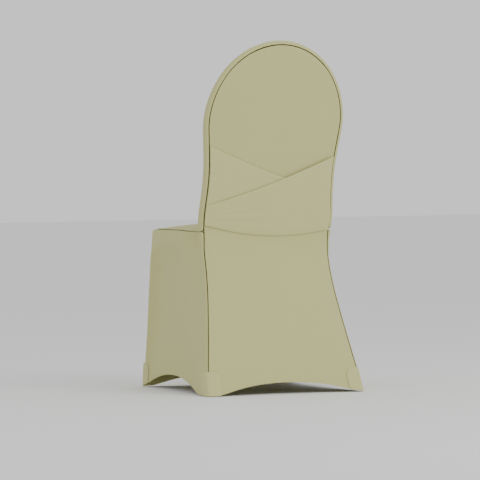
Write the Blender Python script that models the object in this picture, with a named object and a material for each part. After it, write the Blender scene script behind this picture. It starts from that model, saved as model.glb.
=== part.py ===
"""Fitted stretch cover for a round-topped banquet chair, with a gathered criss-cross sash on its back.

The chair is not part of the model, so the cover is hollow and open below. It is cut from one skin:
the skin is made of smooth patches that share their edges, and each panel is then cut out of it along
its seams and given its thickness. The chair faces -Y, so the back of the cover faces +Y. +Z is up,
and the origin is on the floor in the middle of the feet. Sizes are in metres and angles in degrees.
"""

import math
from collections import namedtuple

import bmesh
import bpy
from mathutils import Vector
from mathutils.bvhtree import BVHTree

# Cloth, which stands no lower than the floor
FLOOR = 0.0
SHEET = 0.0015
HEM_SHEET = 0.0022
SEAM_GAP = 0.0016

# Back: a half ellipse on top of sides that follow BACK_SIDES, bent backwards at the seat
TOTAL_HEIGHT = 0.955
DOME_FOOT = 0.73
SEAT_JOIN = 0.44
KINK_HEIGHT = 0.40
KINK_DEPTH = 0.1256
KINK_SOFTNESS = 0.04
LEAN_ABOVE = 0.27
SWEEP_BELOW = -0.385

# Padded rim of the backrest: the seam lies on its back, and slides round the corner below the seat
RIM_HALF_DEPTH = 0.0145
RIM_BACK_ROUND = 0.012
RIM_FRONT_ROUND = 0.014
SEAM_ANGLE_ABOVE = 90.0
SEAM_ANGLE_BELOW = 55.0
SEAM_TURN_FROM = 0.36

# Seat
SEAT_FRONT_BOW = 0.004
SEAT_FRONT_RISE = 0.004
SEAT_CROWN = 0.013
CREASE_RISE = 0.004
PADDING_CROWN = 0.010

# Hems: each rises in an arc between the feet and is drawn in by the stretch
REAR_HEM_RISE = 0.0305
REAR_HEM_MIDDLE = -0.01
FRONT_HEM_RISE = 0.030
HEM_HALF_SPAN = 0.20
SIDE_HEM_RISE = 0.042
SIDE_HEM_MIDDLE = -0.053
SIDE_HEM_HALF_SPAN = 0.21
BACK_DRAW_IN = 0.007

# Numbers of cells, and the share of the way up and over the back where the sides end and the top starts
SHOULDER = 0.70
BACK_ACROSS = 14
BACK_UP = 12
RIM_ROUND = 6
SEAT_DEEP = 10
SASH_ALONG = 12

Width = namedtuple("Width", "height half_width")
BACK_SIDES = (
    Width(0.000, 0.2275),
    Width(0.050, 0.2235),
    Width(0.100, 0.2155),
    Width(0.200, 0.2005),
    Width(0.280, 0.1900),
    Width(0.360, 0.1860),
    Width(0.420, 0.1920),
    Width(0.470, 0.1970),
    Width(0.500, 0.1955),
    Width(0.540, 0.1925),
    Width(0.600, 0.1910),
    Width(0.660, 0.1960),
    Width(0.730, 0.2040),
)

# Side and front below the seat: the cushion stands proud, the cloth is sucked in under it, and it
# comes out again to the legs. The ridge is the fold over the rear leg.
Below = namedtuple("Below", "height corner_x corner_y middle_x ridge_x ridge_y front_y")
SKIRT = (
    Below(0.000, 0.2265, -0.2638, 0.2190, 0.2240, 0.1772, -0.2538),
    Below(0.050, 0.2245, -0.2623, 0.2130, 0.2180, 0.1522, -0.2478),
    Below(0.100, 0.2215, -0.2598, 0.2060, 0.2125, 0.1242, -0.2418),
    Below(0.170, 0.2185, -0.2551, 0.1980, 0.2060, 0.0862, -0.2338),
    Below(0.250, 0.2165, -0.2518, 0.1920, 0.2010, 0.0502, -0.2268),
    Below(0.320, 0.2140, -0.2463, 0.1880, 0.1990, 0.0222, -0.2218),
    Below(0.360, 0.2125, -0.2428, 0.1890, 0.1995, 0.0072, -0.2218),
    Below(0.385, 0.2085, -0.2388, 0.1970, 0.2030, 0.0122, -0.2278),
    Below(0.400, 0.2070, -0.2348, 0.2065, 0.2065, 0.0322, -0.2348),
    Below(0.425, 0.2060, -0.2318, 0.2090, 0.2080, 0.0522, -0.2378),
    Below(0.444, 0.2050, -0.2298, 0.2050, 0.2050, 0.0622, -0.2298),
)
CORNER_FOLD = 0.035
RIDGE_FOLD = 0.014
NOTCH_LENGTH = 0.05
Strip = namedtuple("Strip", "height depth")
STRIP_START = Strip(0.000, 0.172), Strip(0.440, 0.102)
ROW_FRACTIONS = (0, 0.04, 0.08, 0.115, 0.15, 0.19, 0.25, 0.33, 0.43, 0.54, 0.65, 0.76, 0.86, 0.95, 1)

# Sash: each band is a row of lengthwise folds, from its upper edge to its lower edge. The heights
# are at the left seam, in the middle and at the right seam, and proud is how far a fold stands off
# the back panel.
Fold = namedtuple("Fold", "left middle right proud")
UNDER_BAND = (
    Fold(0.6730, 0.5980, 0.5450, 0.0032),
    Fold(0.6630, 0.5900, 0.5390, 0.0046),
    Fold(0.6520, 0.5820, 0.5330, 0.0030),
    Fold(0.6400, 0.5730, 0.5270, 0.0047),
    Fold(0.6290, 0.5640, 0.5200, 0.0029),
    Fold(0.6140, 0.5530, 0.5130, 0.0044),
    Fold(0.5980, 0.5420, 0.5060, 0.0030),
    Fold(0.5860, 0.5310, 0.4990, 0.0046),
    Fold(0.5740, 0.5200, 0.4920, 0.0031),
    Fold(0.5590, 0.5080, 0.4850, 0.0044),
    Fold(0.5400, 0.4950, 0.4790, 0.0030),
    Fold(0.5250, 0.4830, 0.4730, 0.0044),
    Fold(0.5100, 0.4720, 0.4660, 0.0030),
    Fold(0.4950, 0.4620, 0.4600, 0.0032),
)
OVER_BAND = (
    Fold(0.5120, 0.5690, 0.6430, 0.0078),
    Fold(0.5080, 0.5610, 0.6300, 0.0094),
    Fold(0.5030, 0.5520, 0.6160, 0.0080),
    Fold(0.4990, 0.5390, 0.6000, 0.0093),
    Fold(0.4950, 0.5230, 0.5830, 0.0082),
    Fold(0.4910, 0.5120, 0.5680, 0.0095),
    Fold(0.4870, 0.4990, 0.5520, 0.0074),
    Fold(0.4830, 0.4880, 0.5360, 0.0092),
    Fold(0.4790, 0.4790, 0.5190, 0.0082),
    Fold(0.4750, 0.4710, 0.5030, 0.0072),
    Fold(0.4710, 0.4620, 0.4880, 0.0070),
    Fold(0.4670, 0.4530, 0.4720, 0.0067),
    Fold(0.4630, 0.4400, 0.4560, 0.0058),
    Fold(0.4580, 0.4250, 0.4400, 0.0030),
)
SASH_SETTLE = 0.03
BAND_AT_SEAM = {"sash_band_under": 0.0029, "sash_band_over": 0.0049}

# Foot patches: a doubling of the cloth round the outside of each foot corner
PATCH_HEIGHT = 0.066
PATCH_SIDE = 0.027
PATCH_FACE = 0.042
PATCH_ROUND = 0.018
PATCH_SHEET = 0.0010
PATCH_CLEARANCE = 0.0012
PATCH_STATIONS = (-PATCH_SIDE, -0.018, -0.009, 0, 0.0016, 0.006, 0.012, 0.022, 0.032, PATCH_FACE)
PATCH_UP = 5

COVER_COLOUR = (0.560, 0.545, 0.240)
SASH_COLOUR = (0.600, 0.580, 0.265)
PATCH_COLOUR = (0.590, 0.570, 0.260)
CLOTH_ROUGHNESS = 0.85


def smooth(value):
    """0 below 0, 1 above 1, and a soft step between."""
    value = min(max(value, 0.0), 1.0)
    return value * value * (3 - 2 * value)


def mix(first, second, share):
    return first + (second - first) * share


def read(rows, height, column):
    """One column of a table at a height, on a smooth curve through its rows."""
    heights = [row.height for row in rows]
    values = [getattr(row, column) for row in rows]
    last = len(rows) - 1
    slopes = []
    for i in range(last + 1):
        low, high = max(i - 1, 0), min(i + 1, last)
        slopes.append((values[high] - values[low]) / (heights[high] - heights[low]))
    height = min(max(height, heights[0]), heights[-1])
    i = max(k for k in range(last) if heights[k] <= height)
    span = heights[i + 1] - heights[i]
    t = (height - heights[i]) / span
    start = values[i] * (1 + 2 * t) * (1 - t) ** 2 + slopes[i] * span * t * (1 - t) ** 2
    end = values[i + 1] * (3 - 2 * t) * t**2 + slopes[i + 1] * span * (t - 1) * t**2
    return start + end


def half_width(height):
    if height <= DOME_FOOT:
        return read(BACK_SIDES, height, "half_width")
    share = (height - DOME_FOOT) / (TOTAL_HEIGHT - DOME_FOOT)
    return BACK_SIDES[-1].half_width * math.sqrt(max(1 - share * share, 0))


def back_depth(height):
    """Y of the back's outer face: it leans back above the seat and sweeps out to the rear feet."""
    rise = height - KINK_HEIGHT
    bend = math.hypot(rise, KINK_SOFTNESS) - KINK_SOFTNESS
    return KINK_DEPTH + (LEAN_ABOVE + SWEEP_BELOW) / 2 * rise + (LEAN_ABOVE - SWEEP_BELOW) / 2 * bend


def back_normal(height):
    step = 0.001
    slope = (back_depth(height + step) - back_depth(height - step)) / (2 * step)
    return Vector((0, 1, -slope)).normalized()


def arc_rise(distance, half_span, rise):
    return rise * max(0, 1 - abs(distance / half_span) ** 2.2)


def side_hem(y):
    return arc_rise(y - SIDE_HEM_MIDDLE, SIDE_HEM_HALF_SPAN, SIDE_HEM_RISE)


def rear_hem(x):
    return arc_rise(x - REAR_HEM_MIDDLE, HEM_HALF_SPAN, REAR_HEM_RISE)


def front_hem(x):
    return arc_rise(x, HEM_HALF_SPAN, FRONT_HEM_RISE)


def outline():
    """Stations on the back's outline from the seat on the left, over the dome, to the seat on the right.

    Each is (x, z, normal_x, normal_z). BACK_UP cells go up each side and BACK_ACROSS over the top.
    """
    fine = 400
    curve = []
    for i in range(fine + 1):
        height = mix(SEAT_JOIN, DOME_FOOT, i / fine)
        curve.append((half_width(height), height))
    for i in range(1, fine + 1):
        turn = math.pi / 2 * i / fine
        across = BACK_SIDES[-1].half_width * math.cos(turn)
        curve.append((across, mix(DOME_FOOT, TOTAL_HEIGHT, math.sin(turn))))
    lengths = [0]
    for (x0, z0), (x1, z1) in zip(curve, curve[1:]):
        lengths.append(lengths[-1] + math.hypot(x1 - x0, z1 - z0))
    shares = [SHOULDER * i / BACK_UP for i in range(BACK_UP)]
    shares += [mix(SHOULDER, 1, 2 * i / BACK_ACROSS) for i in range(BACK_ACROSS // 2 + 1)]
    left = []
    for share in shares:
        k = min(range(len(curve) - 1), key=lambda n: abs(lengths[n] - share * lengths[-1]))
        x, z = curve[k]
        dx, dz = curve[k + 1][0] - x, curve[k + 1][1] - z
        size = math.hypot(dx, dz)
        left.append((x, z, dz / size, -dx / size))
    left[0] = (left[0][0], SEAT_JOIN, 1.0, 0.0)
    left[-1] = (0.0, TOTAL_HEIGHT, 0.0, 1.0)
    right = [(-x, z, -nx, nz) for x, z, nx, nz in reversed(left[:-1])]
    return left + right


def rim_point(station, angle):
    """A point on the padded rim: 90 is on the back, 0 on the outline and -90 on the front."""
    x, z, nx, nz = station
    turn = math.radians(angle)
    inset = (RIM_BACK_ROUND if angle > 0 else RIM_FRONT_ROUND) * (1 - math.cos(turn))
    height = z - nz * inset
    return Vector((x - nx * inset, back_depth(height) - RIM_HALF_DEPTH * (1 - math.sin(turn)), height))


def corner_point(height, angle):
    """The same round, level, on the left rear corner below the seat."""
    return rim_point((half_width(height), height, 1.0, 0.0), angle)


def seam_angle(height):
    share = smooth((height - SEAM_TURN_FROM) / (SEAT_JOIN - SEAM_TURN_FROM))
    return mix(SEAM_ANGLE_BELOW, SEAM_ANGLE_ABOVE, share)


def side_x(y, height):
    """Half width of the cover's left side at a depth and a height."""
    corner_y = read(SKIRT, height, "corner_y")
    middle_x = read(SKIRT, height, "middle_x")
    ridge_x = read(SKIRT, height, "ridge_x")
    ridge_y = read(SKIRT, height, "ridge_y")
    corner_y_rear = back_depth(height) - RIM_HALF_DEPTH
    fold = 1 - smooth((y - corner_y) / CORNER_FOLD)
    ahead = mix(middle_x, read(SKIRT, height, "corner_x"), fold)
    along = max(y - ridge_y, 0) / (corner_y_rear - ridge_y)
    behind = mix(ridge_x, half_width(height), along)
    return mix(ahead, behind, smooth((y - ridge_y + RIDGE_FOLD) / RIDGE_FOLD))


def wrap_points(height, seat_level=False):
    """The side skirt's last columns, from the strip over the rear leg to the seam on the back."""
    notch = 1.0 if seat_level else smooth((height - SEAM_TURN_FROM) / (SEAT_JOIN - SEAM_TURN_FROM))
    half = RIM_ROUND // 2
    start_y = read(STRIP_START, height, "depth")
    corner_y = back_depth(height) - RIM_HALF_DEPTH
    points = []
    for i in range(half):
        y = mix(start_y, corner_y, i / half)
        straight = Vector((side_x(y, height), y, height))
        points.append(straight.lerp(corner_point(height, -90 + 90 * i / half), notch))
    last = SEAM_ANGLE_ABOVE if seat_level else seam_angle(height)
    return points + [corner_point(height, last * i / half) for i in range(half + 1)]


def skirt_column_point(column, height):
    """A point of the left side skirt in one of its main columns."""
    start = wrap_points(height)[0] if height < SEAT_JOIN else wrap_points(SEAT_JOIN, True)[0]
    front_y = read(SKIRT, height, "corner_y")
    y = mix(front_y, start.y, column / SEAT_DEEP)
    pull = smooth((y - start.y + NOTCH_LENGTH) / NOTCH_LENGTH)
    x = side_x(y, height) + (start.x - side_x(start.y, height)) * pull
    return Vector((x, y, height))


def side_skirt_rows():
    """Rows of the left side skirt from the seat down, each from the front corner to the rear seam."""
    seat = SKIRT[-1].height
    columns = SEAT_DEEP + RIM_ROUND
    rows = []
    for fraction in ROW_FRACTIONS:
        row = []
        for column in range(columns + 1):
            if column <= SEAT_DEEP:
                top = mix(seat, SEAT_JOIN, smooth((column - SEAT_DEEP + 3) / 3))
                hem = side_hem(skirt_column_point(column, 0.02).y)
                row.append(skirt_column_point(column, mix(top, hem, fraction)))
            else:
                hem = side_hem(wrap_points(0)[column - SEAT_DEEP].y)
                height = mix(SEAT_JOIN, hem, fraction)
                row.append(wrap_points(height, fraction == 0)[column - SEAT_DEEP])
        rows.append(row)
    return rows


def front_skirt_rows(corner_column):
    """Rows of the front skirt from the seat down, each from the left corner to the right one."""
    rows = []
    for fraction, corner in zip(ROW_FRACTIONS, corner_column):
        row = []
        for column in range(BACK_ACROSS + 1):
            share = 1 - 2 * column / BACK_ACROSS
            x = corner.x * share
            top = SKIRT[-1].height + SEAT_FRONT_RISE * (1 - share * share)
            height = mix(top, front_hem(x), fraction)
            middle_y = read(SKIRT, height, "front_y") - SEAT_FRONT_BOW * (1 - fraction)
            fold = 1 - smooth((corner.x - abs(x)) / CORNER_FOLD)
            row.append(Vector((x, mix(middle_y, corner.y, fold), height)))
        row[0] = corner.copy()
        row[-1] = Vector((-corner.x, corner.y, corner.z))
        rows.append(row)
    return rows


def coons(top, bottom, left, right):
    """Rows of a patch stretched between four edges. The rows run from left to right, the top row first."""
    rows = []
    for i, point in enumerate(left):
        upright = left[0].z - left[-1].z > 0.1
        v = (left[0].z - point.z) / (left[0].z - left[-1].z) if upright else i / (len(left) - 1)
        row = []
        for j in range(len(top)):
            u = j / (len(top) - 1)
            across = left[i].lerp(right[i], u)
            down = top[j].lerp(bottom[j], v)
            corners = top[0].lerp(top[-1], u).lerp(bottom[0].lerp(bottom[-1], u), v)
            row.append(across + down - corners)
        rows.append(row)
    return rows


def swell(rows, push):
    """Moves each inner point of a patch by push(point), and leaves its four edges alone."""
    for row in rows[1:-1]:
        for j in range(1, len(row) - 1):
            row[j] = push(row[j])
    return rows


def mirrored(points):
    return [Vector((-point.x, point.y, point.z)) for point in points]


def back_panel_rows(stations, corner_column):
    """The back panel, from the dome's top row down to the rear hem."""
    seam = [rim_point(station, SEAM_ANGLE_ABOVE) for station in stations]
    left = list(reversed(seam[: BACK_UP + 1])) + corner_column[1:]
    top = seam[BACK_UP : BACK_UP + BACK_ACROSS + 1]
    foot = corner_column[-1]
    bottom = []
    for column in range(BACK_ACROSS + 1):
        x = foot.x * (1 - 2 * column / BACK_ACROSS)
        bottom.append(Vector((x, 0, rear_hem(x) if 0 < column < BACK_ACROSS else 0)))

    def lay(point):
        across = min(abs(point.x) / half_width(point.z), 1)
        edge = mix(RIM_HALF_DEPTH * (1 - math.sin(math.radians(SEAM_ANGLE_BELOW))), 0, smooth(point.z / 0.4))
        draw_in = BACK_DRAW_IN * (1 - across**2) * smooth((KINK_HEIGHT - point.z) / KINK_HEIGHT)
        return Vector((point.x, back_depth(point.z) - edge * across**8 - draw_in, point.z))

    rows = coons(top, bottom, left, mirrored(left))
    swell(rows, lay)
    for j in range(1, BACK_ACROSS):
        rows[-1][j] = lay(rows[-1][j])
    rows[-1][0], rows[-1][-1] = foot.copy(), mirrored([foot])[0]
    return rows


def inner_back_rows(stations, crease):
    """The front of the backrest, from the dome down to the crease at the seat."""
    front = [rim_point(station, -90) for station in stations]
    left = list(reversed(front[: BACK_UP + 1]))
    top = front[BACK_UP : BACK_UP + BACK_ACROSS + 1]

    def lay(point):
        across = min(abs(point.x) / half_width(point.z), 1)
        crown = PADDING_CROWN * (1 - across**4) * smooth((point.z - SEAT_JOIN) / 0.05)
        crown *= smooth((TOTAL_HEIGHT - point.z) / 0.08)
        return Vector((point.x, back_depth(point.z) - 2 * RIM_HALF_DEPTH - crown, point.z))

    return swell(coons(top, crease, left, mirrored(left)), lay)


def rim_rows(stations):
    angles = [90 - 180 * i / RIM_ROUND for i in range(RIM_ROUND + 1)]
    return [[rim_point(station, angle) for angle in angles] for station in stations]


def crease_points(corner):
    """Where the seat meets the backrest."""
    points = []
    for column in range(BACK_ACROSS + 1):
        share = 1 - 2 * column / BACK_ACROSS
        points.append(Vector((corner.x * share, corner.y, corner.z + CREASE_RISE * (1 - share * share))))
    return points


def seat_rows(front, crease, left):
    """The seat panel, from the crease to the front edge."""

    def lay(point):
        across = min(abs(point.x) / SKIRT[-1].corner_x, 1)
        deep = abs(2 * (point.y - left[0].y) / (left[-1].y - left[0].y) - 1)
        return point + Vector((0, 0, SEAT_CROWN * (1 - across**3) * (1 - deep**3)))

    back_to_front = list(reversed(left))
    return swell(coons(crease, front, back_to_front, mirrored(back_to_front)), lay)


def add_patch(skin, rows, number, hem_rows=0):
    """Adds a patch of quads to the skin, marked with its panel's number and its cloth's thickness."""
    thickness = skin.verts.layers.float["thickness"]
    grid = []
    for i, row in enumerate(rows):
        points = [skin.verts.new(point) for point in row]
        for point in points:
            point[thickness] = HEM_SHEET if i >= len(rows) - hem_rows else SHEET
        grid.append(points)
    for upper, lower in zip(grid, grid[1:]):
        for a, b, c, d in zip(upper, upper[1:], lower[1:], lower):
            skin.faces.new((a, b, c, d)).material_index = number


def new_skin():
    skin = bmesh.new()
    skin.verts.layers.float.new("thickness")
    return skin


def finish_skin(skin, outward):
    """Welds the patches, turns their faces outwards and splits them into triangles."""
    bmesh.ops.remove_doubles(skin, verts=skin.verts[:], dist=0.00001)
    bmesh.ops.recalc_face_normals(skin, faces=skin.faces[:])
    face = max(skin.faces, key=lambda item: item.calc_center_median().dot(outward))
    if face.normal.dot(outward) < 0:
        bmesh.ops.reverse_faces(skin, faces=skin.faces[:])
    bmesh.ops.triangulate(skin, faces=skin.faces[:], quad_method="SHORT_EDGE")
    skin.verts.index_update()
    skin.normal_update()
    return skin


def seam_pull(vertex, panel):
    """How a point moves away from the seams that its panel ends at, half a gap from each."""
    pulls = []
    for edge in vertex.link_edges:
        inside = [face for face in edge.link_faces if face in panel]
        if len(inside) != 1 or len(edge.link_faces) != 2:
            continue
        along = (edge.verts[1].co - edge.verts[0].co).normalized()
        inwards = inside[0].calc_center_median() - edge.verts[0].co
        pulls.append((inwards - along * inwards.dot(along)).normalized())
    if not pulls:
        return Vector((0, 0, 0))
    if len(pulls) == 1:
        return pulls[0] * SEAM_GAP / 2
    return (pulls[0] + pulls[1]) * SEAM_GAP / 2 / max(1 + pulls[0].dot(pulls[1]), 0.3)


def on_floor(point):
    """The point, lifted to the floor if it lies under it."""
    return Vector((point.x, point.y, max(point.z, FLOOR)))


def cut_panel(skin, number, name, material):
    """Cuts one panel out of the skin along its seams and gives it its thickness, inwards."""
    thickness = skin.verts.layers.float["thickness"]
    panel = {face for face in skin.faces if face.material_index == number}
    body = bmesh.new()
    outer, inner = {}, {}
    for vertex in {vertex for face in panel for vertex in face.verts}:
        place = vertex.co + seam_pull(vertex, panel)
        under = place - vertex.normal * vertex[thickness] * vertex.calc_shell_factor()
        outer[vertex] = body.verts.new(on_floor(place))
        inner[vertex] = body.verts.new(on_floor(under))
    for face in panel:
        body.faces.new([outer[vertex] for vertex in face.verts])
        body.faces.new([inner[vertex] for vertex in reversed(face.verts)])
        for loop in face.loops:
            if sum(other in panel for other in loop.edge.link_faces) == 1:
                a, b = loop.vert, loop.link_loop_next.vert
                # Neighbours split their shared wall along the same diagonal, so the gap stays even.
                if a.index < b.index:
                    body.faces.new((outer[b], outer[a], inner[b]))
                    body.faces.new((outer[a], inner[a], inner[b]))
                else:
                    body.faces.new((outer[b], outer[a], inner[a]))
                    body.faces.new((outer[b], inner[a], inner[b]))
    return cloth_object(name, body, material)


def cloth_object(name, body, material):
    mesh = bpy.data.meshes.new(name)
    body.to_mesh(mesh)
    body.free()
    mesh.shade_smooth()
    mesh.set_sharp_from_angle(angle=math.radians(40))
    mesh.materials.append(material)
    item = bpy.data.objects.new(name, mesh)
    bpy.context.scene.collection.objects.link(item)
    return item


def cloth_material(name, colour):
    material = bpy.data.materials.new(name)
    material.use_nodes = True
    shader = material.node_tree.nodes["Principled BSDF"]
    shader.inputs["Base Color"].default_value = (*colour, 1)
    shader.inputs["Roughness"].default_value = CLOTH_ROUGHNESS
    shader.inputs["Metallic"].default_value = 0
    return material


def make_cover():
    """The six panels of the cover, cut from one skin."""
    stations = outline()
    side = side_skirt_rows()
    front = front_skirt_rows([row[0] for row in side])
    crease = crease_points(side[0][SEAT_DEEP])
    patches = {
        "back_panel": [(back_panel_rows(stations, [row[-1] for row in side]), 2)],
        "inner_back_panel": [(inner_back_rows(stations, crease), 0), (rim_rows(stations), 0)],
        "seat_panel": [(seat_rows(front[0], crease, side[0][: SEAT_DEEP + 1]), 0)],
        "front_skirt": [(front, 2)],
        "side_skirt_left": [(side, 2)],
        "side_skirt_right": [([mirrored(row) for row in side], 2)],
    }
    skin = new_skin()
    for number, parts in enumerate(patches.values()):
        for rows, hem_rows in parts:
            add_patch(skin, rows, number, hem_rows)
    finish_skin(skin, Vector((0, 0, 1)))
    for number, name in enumerate(patches):
        cut_panel(skin, number, name, cloth_material(name + "_knit", COVER_COLOUR))
    return skin


def fold_height(fold, share):
    """Height of a fold line at a share of the way from the left seam to the right one."""
    bend = fold.middle - (fold.left + fold.right) / 2
    return mix(fold.left, fold.right, share) + 4 * bend * share * (1 - share)


def make_sash_band(name, folds, material):
    """One gathered band on the back panel, sewn into the seams at both ends."""
    skin = new_skin()
    rows = []
    for fold in folds:
        row = []
        for column in range(SASH_ALONG + 1):
            share = (1 - math.cos(math.pi * column / SASH_ALONG)) / 2
            height = fold_height(fold, share)
            reach = half_width(height) - RIM_BACK_ROUND - SEAM_GAP
            x = mix(reach, -reach, share)
            settled = smooth((reach - abs(x)) / SASH_SETTLE)
            proud = mix(BAND_AT_SEAM[name], fold.proud, settled)
            row.append(Vector((x, back_depth(height), height)) + back_normal(height) * proud)
        rows.append(row)
    add_patch(skin, rows, 0)
    finish_skin(skin, Vector((0, 1, 0)))
    cut_panel(skin, 0, name, material)
    skin.free()


def patch_outline(along):
    """How high a foot patch reaches at a distance from the foot's corner: its top corners are round."""
    end = PATCH_FACE if along > 0 else PATCH_SIDE
    left_over = end - abs(along)
    if left_over >= PATCH_ROUND:
        return PATCH_HEIGHT
    sink = PATCH_ROUND - left_over
    return PATCH_HEIGHT - PATCH_ROUND + math.sqrt(max(PATCH_ROUND**2 - sink**2, 0))


def rear_foot(along, height):
    """A point of the left rear foot's skin, by the distance from its corner: + on the back, - on the side."""
    if along >= 0:
        x = half_width(height) - along
        inset = max(RIM_BACK_ROUND - along, 0) / RIM_BACK_ROUND
        drop = RIM_HALF_DEPTH * (1 - math.sqrt(max(1 - inset**2, 0)))
        return Vector((x, back_depth(height) - drop, height))
    y = back_depth(height) - RIM_HALF_DEPTH + along
    return Vector((side_x(y, height), y, height))


def front_foot(along, height):
    """The same for the left front foot: + on the front, - on the side."""
    corner_x, corner_y = read(SKIRT, height, "corner_x"), read(SKIRT, height, "corner_y")
    if along > 0:
        fold = 1 - smooth(along / CORNER_FOLD)
        return Vector((corner_x - along, mix(read(SKIRT, height, "front_y"), corner_y, fold), height))
    y = corner_y - along
    return Vector((side_x(y, height), y, height))


def make_foot_patch(name, foot, side, cover, material):
    """A patch with round top corners, wrapped round one foot just outside the cover's skin."""
    hem = rear_hem if foot is rear_foot else front_hem
    skin = new_skin()
    rows = []
    for i in range(PATCH_UP + 1):
        row = []
        for along in PATCH_STATIONS:
            bottom = side_hem(foot(along, 0).y) if along < 0 else hem(foot(along, 0).x * side)
            height = mix(patch_outline(along), bottom, i / PATCH_UP)
            point = foot(along, height)
            row.append(Vector((point.x * side, point.y, point.z)))
        rows.append(row)
    add_patch(skin, rows, 0)
    finish_skin(skin, Vector((side, 1 if foot is rear_foot else -1, 0)))
    thickness = skin.verts.layers.float["thickness"]
    places = []
    for vertex in skin.verts:
        outwards = vertex.normal * vertex.calc_shell_factor() * (PATCH_CLEARANCE + PATCH_SHEET)
        places.append(cover.find_nearest(vertex.co)[0] + outwards)
    for vertex, place in zip(skin.verts, places):
        vertex.co = on_floor(place)
        vertex[thickness] = PATCH_SHEET
    skin.normal_update()
    cut_panel(skin, 0, name, material)
    skin.free()


def clear_scene():
    for item in list(bpy.data.objects):
        bpy.data.objects.remove(item)


def main():
    clear_scene()
    skin = make_cover()
    cover = BVHTree.FromBMesh(skin)
    skin.free()
    make_sash_band("sash_band_under", UNDER_BAND, cloth_material("sash_band_under_knit", SASH_COLOUR))
    make_sash_band("sash_band_over", OVER_BAND, cloth_material("sash_band_over_knit", SASH_COLOUR))
    for end, foot in (("rear", rear_foot), ("front", front_foot)):
        for word, side in (("left", 1), ("right", -1)):
            name = f"foot_patch_{end}_{word}"
            make_foot_patch(name, foot, side, cover, cloth_material(name + "_knit", PATCH_COLOUR))


main()
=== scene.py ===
"""Fitted stretch cover with a criss-cross sash: a smoothed sheet of knit for each cut piece, and the studio."""

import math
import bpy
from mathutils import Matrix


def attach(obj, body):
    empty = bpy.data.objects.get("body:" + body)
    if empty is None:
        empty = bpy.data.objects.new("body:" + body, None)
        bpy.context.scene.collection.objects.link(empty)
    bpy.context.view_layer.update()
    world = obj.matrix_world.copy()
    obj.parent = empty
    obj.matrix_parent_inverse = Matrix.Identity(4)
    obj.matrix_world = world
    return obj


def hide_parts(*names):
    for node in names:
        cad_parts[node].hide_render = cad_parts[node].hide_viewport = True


bl_info = {
    "name": "Chair cover with sash",
    "version": (1, 0, 0),
    "blender": (4, 5, 0),
    "location": "View3D > Sidebar > Chair cover",
    "description": "Dresses the frame's cloth pieces in stretch knit and sets up the studio",
    "category": "Object",
}

from collections import namedtuple

import bpy
from bpy.props import FloatProperty, FloatVectorProperty
from mathutils import Matrix, Vector

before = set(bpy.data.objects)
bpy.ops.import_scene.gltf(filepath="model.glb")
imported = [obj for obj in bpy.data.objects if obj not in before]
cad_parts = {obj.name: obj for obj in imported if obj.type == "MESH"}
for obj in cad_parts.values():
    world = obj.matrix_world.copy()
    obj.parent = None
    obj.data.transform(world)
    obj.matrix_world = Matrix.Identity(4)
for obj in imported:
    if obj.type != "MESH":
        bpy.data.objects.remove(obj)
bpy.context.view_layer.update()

MERGE = 0.00001
SMOOTH_ANGLE = math.radians(50)

# What each piece was cut to before the stretch over the chair, in metres and square metres
Cut = namedtuple("Cut", "width length area held")
BACK = {
    "back_panel": Cut(0.44, 0.98, 0.37, "stretched"),
    "inner_back_panel": Cut(0.46, 0.56, 0.235, "stretched"),
}
SEAT = {"seat_panel": Cut(0.40, 0.33, 0.132, "stretched")}
SKIRTS = {
    "front_skirt": Cut(0.45, 0.44, 0.19, "stretched"),
    "side_skirt_left": Cut(0.45, 0.44, 0.17, "stretched"),
    "side_skirt_right": Cut(0.45, 0.44, 0.17, "stretched"),
}
SASH = {
    "sash_band_under": Cut(0.37, 0.20, 0.05, "gathered"),
    "sash_band_over": Cut(0.37, 0.20, 0.05, "gathered"),
}
PATCHES = {
    f"foot_patch_{end}_{side}": Cut(0.069, 0.066, 0.004, "stretched")
    for end in ("rear", "front")
    for side in ("left", "right")
}

# Camera: behind the cover and to its left, level with the sash
CAMERA_AZIMUTH = math.radians(159.04)
CAMERA_ELEVATION = math.radians(0.85)
CAMERA_ROLL = math.radians(-0.69)
CAMERA_DISTANCE = 9.527
CAMERA_TARGET = Vector((0, 0.0022, 0.47))
AIM_RIGHT = -0.0279
AIM_UP = -0.0577
LENS = 258.3
FLOOR_SIDE = 60.0


class CoverSettings(bpy.types.PropertyGroup):
    cover_colour: FloatVectorProperty(
        name="Cover",
        description="Colour of the cover's knit",
        subtype="COLOR",
        size=3,
        default=(0.560, 0.545, 0.240),
    )
    sash_colour: FloatVectorProperty(
        name="Sash",
        description="Colour of the sash's knit",
        subtype="COLOR",
        size=3,
        default=(0.600, 0.580, 0.265),
    )
    patch_colour: FloatVectorProperty(
        name="Patches",
        description="Colour of the foot patches",
        subtype="COLOR",
        size=3,
        default=(0.590, 0.570, 0.260),
    )
    wale: FloatProperty(
        name="Wale", description="Width of one column of stitches", unit="LENGTH", default=0.0012, min=0.0003
    )


class Value:
    """A number socket that can be used in sums."""

    def __init__(self, recipe, socket):
        self.recipe = recipe
        self.socket = socket

    def __add__(self, other):
        return self.recipe.math("ADD", self, other)

    def __mul__(self, other):
        return self.recipe.math("MULTIPLY", self, other)

    __radd__ = __add__
    __rmul__ = __mul__


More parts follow.
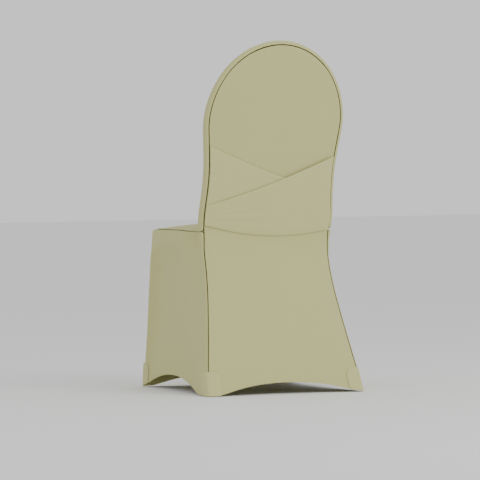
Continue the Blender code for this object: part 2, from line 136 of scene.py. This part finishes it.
class Recipe:
    """The nodes of one material."""

    def __init__(self, name):
        self.material = bpy.data.materials.new(name)
        self.material.use_nodes = True
        self.tree = self.material.node_tree
        self.shader = self.tree.nodes["Principled BSDF"]

    def node(self, kind, settings, inputs):
        made = self.tree.nodes.new(kind)
        for key, value in settings.items():
            setattr(made, key, value)
        for key, value in inputs.items():
            self.feed(made.inputs[key], value)
        return made

    def feed(self, socket, value):
        if isinstance(value, Value):
            value = value.socket
        if isinstance(value, bpy.types.NodeSocket):
            self.tree.links.new(value, socket)
        else:
            socket.default_value = value

    def math(self, operation, *values):
        made = self.node("ShaderNodeMath", {"operation": operation}, dict(enumerate(values)))
        return Value(self, made.outputs[0])


def knit(name, colour, wale):
    """Matt stretch knit: columns of stitches in relief, a soft sheen and a slight mottle."""
    recipe = Recipe(name)
    place = recipe.node("ShaderNodeTexCoord", {}, {}).outputs["Object"]
    axes = recipe.node("ShaderNodeSeparateXYZ", {}, {"Vector": place}).outputs
    across = Value(recipe, axes[0]) + Value(recipe, axes[1])
    ribs = recipe.math("SINE", across * (2 * math.pi / wale))
    rows = recipe.math("SINE", Value(recipe, axes[2]) * (2 * math.pi / wale))
    mottle = recipe.node("ShaderNodeTexNoise", {}, {"Vector": place, "Scale": 7.0, "Detail": 4.0}).outputs[0]
    share = Value(recipe, mottle)
    pale = [min(1.0, part * 1.03) for part in colour]
    deep = [part * 0.97 for part in colour]
    tint = recipe.node(
        "ShaderNodeMix", {"data_type": "RGBA"}, {"Factor": share, 6: (*deep, 1), 7: (*pale, 1)}
    ).outputs[2]
    relief = recipe.node(
        "ShaderNodeBump", {}, {"Height": ribs * 0.5 + rows * 0.5, "Strength": 0.2, "Distance": 0.0002}
    ).outputs[0]
    recipe.feed(recipe.shader.inputs["Base Color"], tint)
    recipe.feed(recipe.shader.inputs["Normal"], relief)
    recipe.feed(recipe.shader.inputs["Roughness"], share * 0.08 + 0.80)
    recipe.shader.inputs["Sheen Weight"].default_value = 0.12
    recipe.shader.inputs["Sheen Roughness"].default_value = 0.5
    recipe.shader.inputs["Specular IOR Level"].default_value = 0.25
    return recipe.material


def select_only(item):
    bpy.ops.object.select_all(action="DESELECT")
    item.select_set(True)
    bpy.context.view_layer.objects.active = item


def dress(node, material):
    """Makes the smoothed sheet of one cut piece on its solid, hangs it on the root and hides the solid."""
    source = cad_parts[node]
    sheet = bpy.data.objects.new(node + "_cloth", source.data.copy())
    bpy.context.scene.collection.objects.link(sheet)
    select_only(sheet)
    bpy.ops.object.mode_set(mode="EDIT")
    bpy.ops.mesh.select_all(action="SELECT")
    bpy.ops.mesh.remove_doubles(threshold=MERGE)
    bpy.ops.mesh.tris_convert_to_quads()
    bpy.ops.object.mode_set(mode="OBJECT")
    smoothing = sheet.modifiers.new("Smoothing", "SUBSURF")
    smoothing.levels = smoothing.render_levels = 2
    bpy.ops.object.modifier_apply(modifier=smoothing.name)
    bpy.ops.object.shade_smooth_by_angle(angle=SMOOTH_ANGLE)
    sheet.data.materials.clear()
    sheet.data.materials.append(material)
    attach(sheet, "root")
    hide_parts(node)


class PieceOperator:
    """What the operators of the cloth pieces share."""

    cuts = {}
    slot = ""
    colour = ""

    def execute(self, context):
        settings = context.scene.cover_settings
        material = knit(f"{next(iter(self.cuts))}_knit", getattr(settings, self.colour), settings.wale)
        for node, cut in self.cuts.items():
            dress(node, material)
        return {"FINISHED"}


class COVER_OT_back(PieceOperator, bpy.types.Operator):
    """Adds the back panel and the inner back panel with its rim"""

    bl_idname = "cover.back"
    bl_label = "Back panels"
    cuts, slot, colour = BACK, "cover_knit", "cover_colour"


class COVER_OT_seat(PieceOperator, bpy.types.Operator):
    """Adds the seat panel"""

    bl_idname = "cover.seat"
    bl_label = "Seat panel"
    cuts, slot, colour = SEAT, "cover_knit", "cover_colour"


class COVER_OT_skirts(PieceOperator, bpy.types.Operator):
    """Adds the front skirt and the two side skirts"""

    bl_idname = "cover.skirts"
    bl_label = "Skirts"
    cuts, slot, colour = SKIRTS, "cover_knit", "cover_colour"


class COVER_OT_sash(PieceOperator, bpy.types.Operator):
    """Adds the two crossing bands of the sash"""

    bl_idname = "cover.sash"
    bl_label = "Sash bands"
    cuts, slot, colour = SASH, "sash_knit", "sash_colour"


class COVER_OT_patches(PieceOperator, bpy.types.Operator):
    """Adds the four foot patches"""

    bl_idname = "cover.patches"
    bl_label = "Foot patches"
    cuts, slot, colour = PATCHES, "patch_knit", "patch_colour"


def area_light(name, place, power, size):
    data = bpy.data.lights.new(name, "AREA")
    data.energy = power
    data.size = size
    lamp = bpy.data.objects.new(name, data)
    lamp.location = place
    lamp.rotation_euler = (CAMERA_TARGET - Vector(place)).to_track_quat("-Z", "Y").to_euler()
    bpy.context.scene.collection.objects.link(lamp)


class COVER_OT_stage(bpy.types.Operator):
    """Adds the floor, the lights and the camera"""

    bl_idname = "cover.stage"
    bl_label = "Stage"

    def execute(self, context):
        bpy.ops.mesh.primitive_plane_add(size=FLOOR_SIDE, location=(0, 0, -0.0005))
        floor = context.active_object
        floor.name = "floor"
        select_only(floor)
        bpy.ops.object.transform_apply(location=True, rotation=True, scale=True)
        paper = Recipe("floor_paper")
        paper.shader.inputs["Base Color"].default_value = (0.86, 0.86, 0.86, 1)
        paper.shader.inputs["Roughness"].default_value = 0.9
        floor.data.materials.append(paper.material)
        world = bpy.data.worlds.new("studio")
        world.use_nodes = True
        world.node_tree.nodes["Background"].inputs["Color"].default_value = (1, 1, 1, 1)
        world.node_tree.nodes["Background"].inputs["Strength"].default_value = 0.9
        context.scene.world = world
        area_light("key", (-1.6, 3.4, 3.0), 70, 2.5)
        towards = Vector(
            (
                math.sin(CAMERA_AZIMUTH) * math.cos(CAMERA_ELEVATION),
                -math.cos(CAMERA_AZIMUTH) * math.cos(CAMERA_ELEVATION),
                math.sin(CAMERA_ELEVATION),
            )
        )
        data = bpy.data.cameras.new("camera")
        data.lens = LENS
        data.clip_end = 200
        camera = bpy.data.objects.new("camera", data)
        camera.location = CAMERA_TARGET + towards * CAMERA_DISTANCE
        right = towards.cross(Vector((0, 0, 1))).normalized() * -1
        up = right.cross(-towards)
        aim = CAMERA_TARGET + right * AIM_RIGHT + up * AIM_UP
        turn = (aim - camera.location).to_track_quat("-Z", "Y").to_matrix()
        camera.rotation_euler = (turn @ Matrix.Rotation(CAMERA_ROLL, 3, "Z")).to_euler()
        context.scene.collection.objects.link(camera)
        context.scene.camera = camera
        return {"FINISHED"}


class COVER_PT_panel(bpy.types.Panel):
    """Lists the sizes, the colours and the pieces"""

    bl_label = "Chair cover"
    bl_space_type = "VIEW_3D"
    bl_region_type = "UI"
    bl_category = "Chair cover"

    def draw(self, context):
        for name in ("cover_colour", "sash_colour", "patch_colour", "wale"):
            self.layout.prop(context.scene.cover_settings, name)
        for operator in OPERATORS:
            self.layout.operator(operator.bl_idname)


OPERATORS = (COVER_OT_back, COVER_OT_seat, COVER_OT_skirts, COVER_OT_sash, COVER_OT_patches, COVER_OT_stage)
CLASSES = (CoverSettings, *OPERATORS, COVER_PT_panel)


def register():
    for item in CLASSES:
        bpy.utils.register_class(item)
    bpy.types.Scene.cover_settings = bpy.props.PointerProperty(type=CoverSettings)


def unregister():
    del bpy.types.Scene.cover_settings
    for item in reversed(CLASSES):
        bpy.utils.unregister_class(item)


def main():
    register()
    bpy.ops.cover.back()
    bpy.ops.cover.seat()
    bpy.ops.cover.skirts()
    bpy.ops.cover.sash()
    bpy.ops.cover.patches()
    bpy.ops.cover.stage()
    bpy.context.view_layer.update()


if __name__ == "__main__":
    main()
